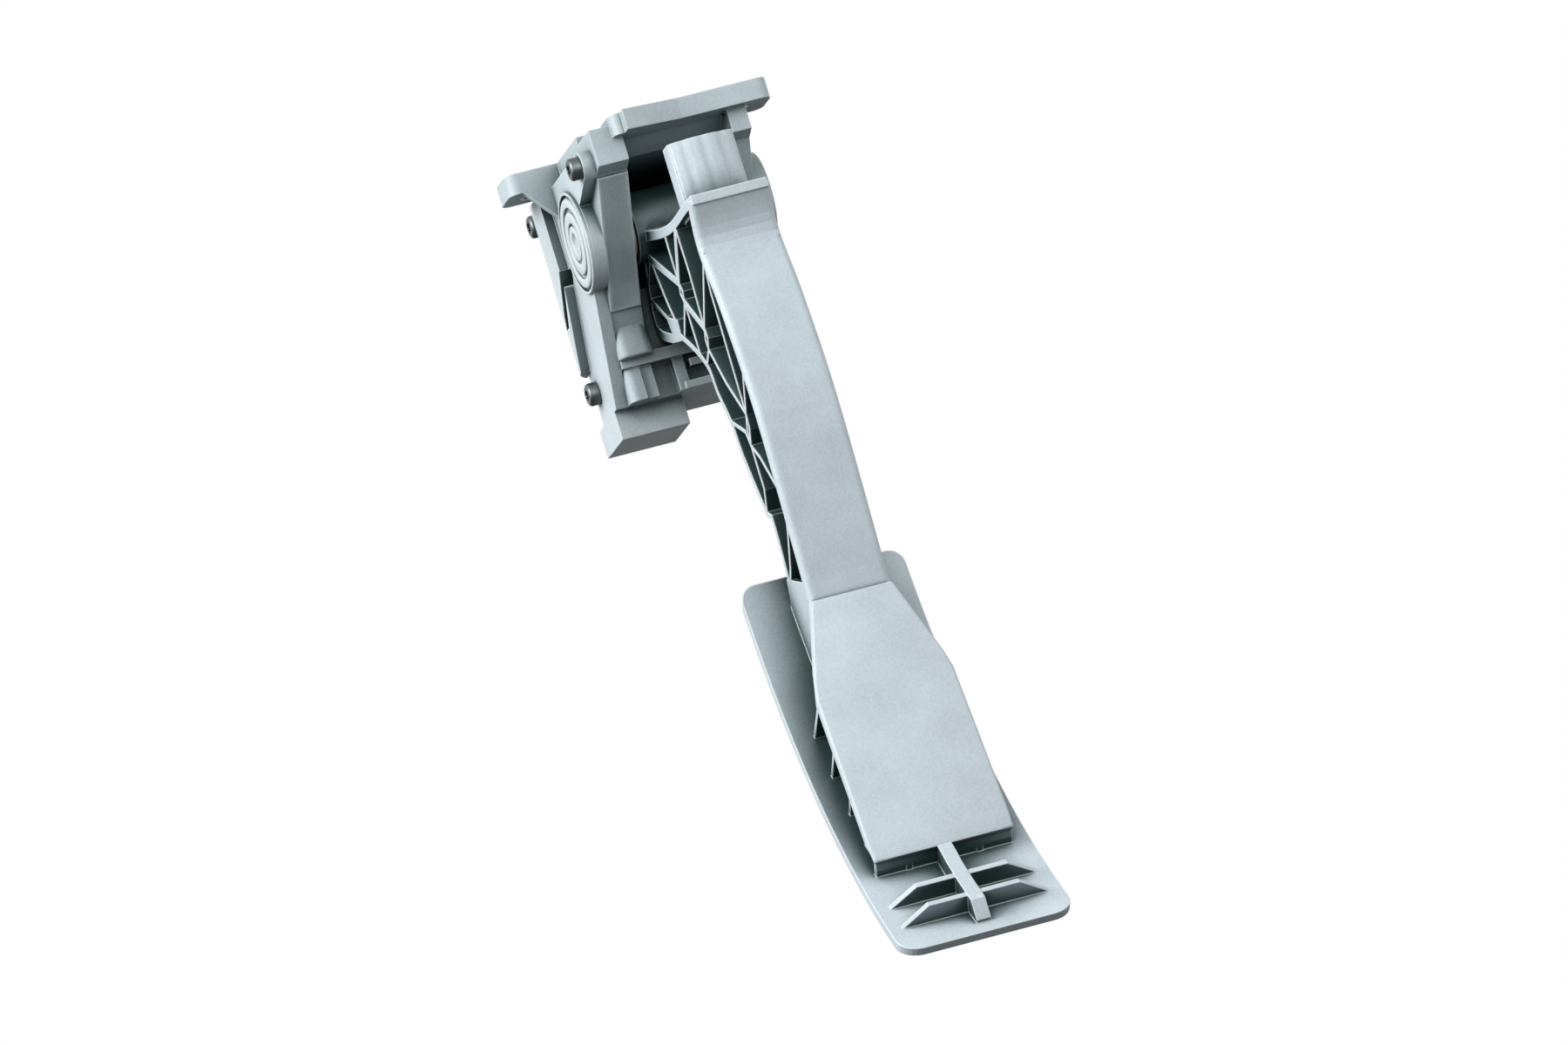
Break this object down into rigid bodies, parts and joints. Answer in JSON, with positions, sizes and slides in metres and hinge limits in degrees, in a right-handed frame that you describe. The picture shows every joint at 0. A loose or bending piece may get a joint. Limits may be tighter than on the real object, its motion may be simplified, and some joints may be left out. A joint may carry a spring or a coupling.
{
  "type": "accelerator pedal",
  "caption": "Hanging accelerator pedal: ribbed plastic arm with bent foot pad, sprung in a flanged housing with a magnetic position sensor and connector socket.",
  "frame": {"origin": "on the mounting face, straight above the pivot axis and in the middle of the arm", "axes": "+Z out of the mounting face, +X along the pivot axis, +Y towards the driver's foot"},
  "size_m": [0.0771, 0.1706, 0.2862],
  "materials": {
    "moulded_plastic_body": "fine moulded grain",
    "moulded_plastic_cover": "fine moulded grain",
    "moulded_plastic_arm": "fine spark-eroded grain",
    "seal_rubber": "matt",
    "blackened_steel": "black oxide",
    "plated_steel": "zinc plated",
    "board_laminate": "green solder mask",
    "chip_resin": "moulded resin",
    "tinned_brass": "tinned",
    "bearing_plastic": "natural acetal",
    "spring_steel": "drawn wire",
    "dark_plastic": "glass-filled",
    "magnet_ferrite": "pressed ferrite",
    "friction_lining": "pressed lining"
  },
  "bodies": {
    "housing": {"housing": "moulded_plastic_body", "side_cover": "moulded_plastic_cover", "pivot_cap": "moulded_plastic_cover", "cover_gasket": "seal_rubber", "cover_screws": "blackened_steel", "mount_sleeves": "plated_steel", "circuit_board": "board_laminate", "sensor_chips": "chip_resin", "connector_pins": "tinned_brass", "left_bush": "bearing_plastic", "right_bush": "bearing_plastic", "spring_seat": "seal_rubber", "idle_bumper": "seal_rubber", "travel_bumper": "seal_rubber", "outer_spring": "spring_steel", "inner_spring": "spring_steel"},
    "pedal": {"pedal_arm": "moulded_plastic_arm", "pivot_shaft": "plated_steel", "shaft_ring": "blackened_steel", "magnet_holder": "dark_plastic", "rotor_magnet": "magnet_ferrite"},
    "cup": {"spring_cup": "dark_plastic", "friction_shoes": "friction_lining"}
  },
  "joints": [
    {"name": "pedal_pivot", "type": "hinge", "parent": "housing", "child": "pedal", "pos_m": [0, 0, -0.0285], "axis": [-1, 0, 0], "range_deg": [0, 16], "stiffness_Nm_per_rad": 16, "springref_deg": -17.19},
    {"name": "cup_slide", "type": "slide", "parent": "housing", "child": "cup", "axis": [0, 0, -1], "range_m": [0, 0.0087], "deforming": ["outer_spring", "inner_spring"]}
  ],
  "couplings": [
    {"joint": "cup_slide", "follows": "pedal_pivot", "m_per_rad": 0.0302}
  ]
}
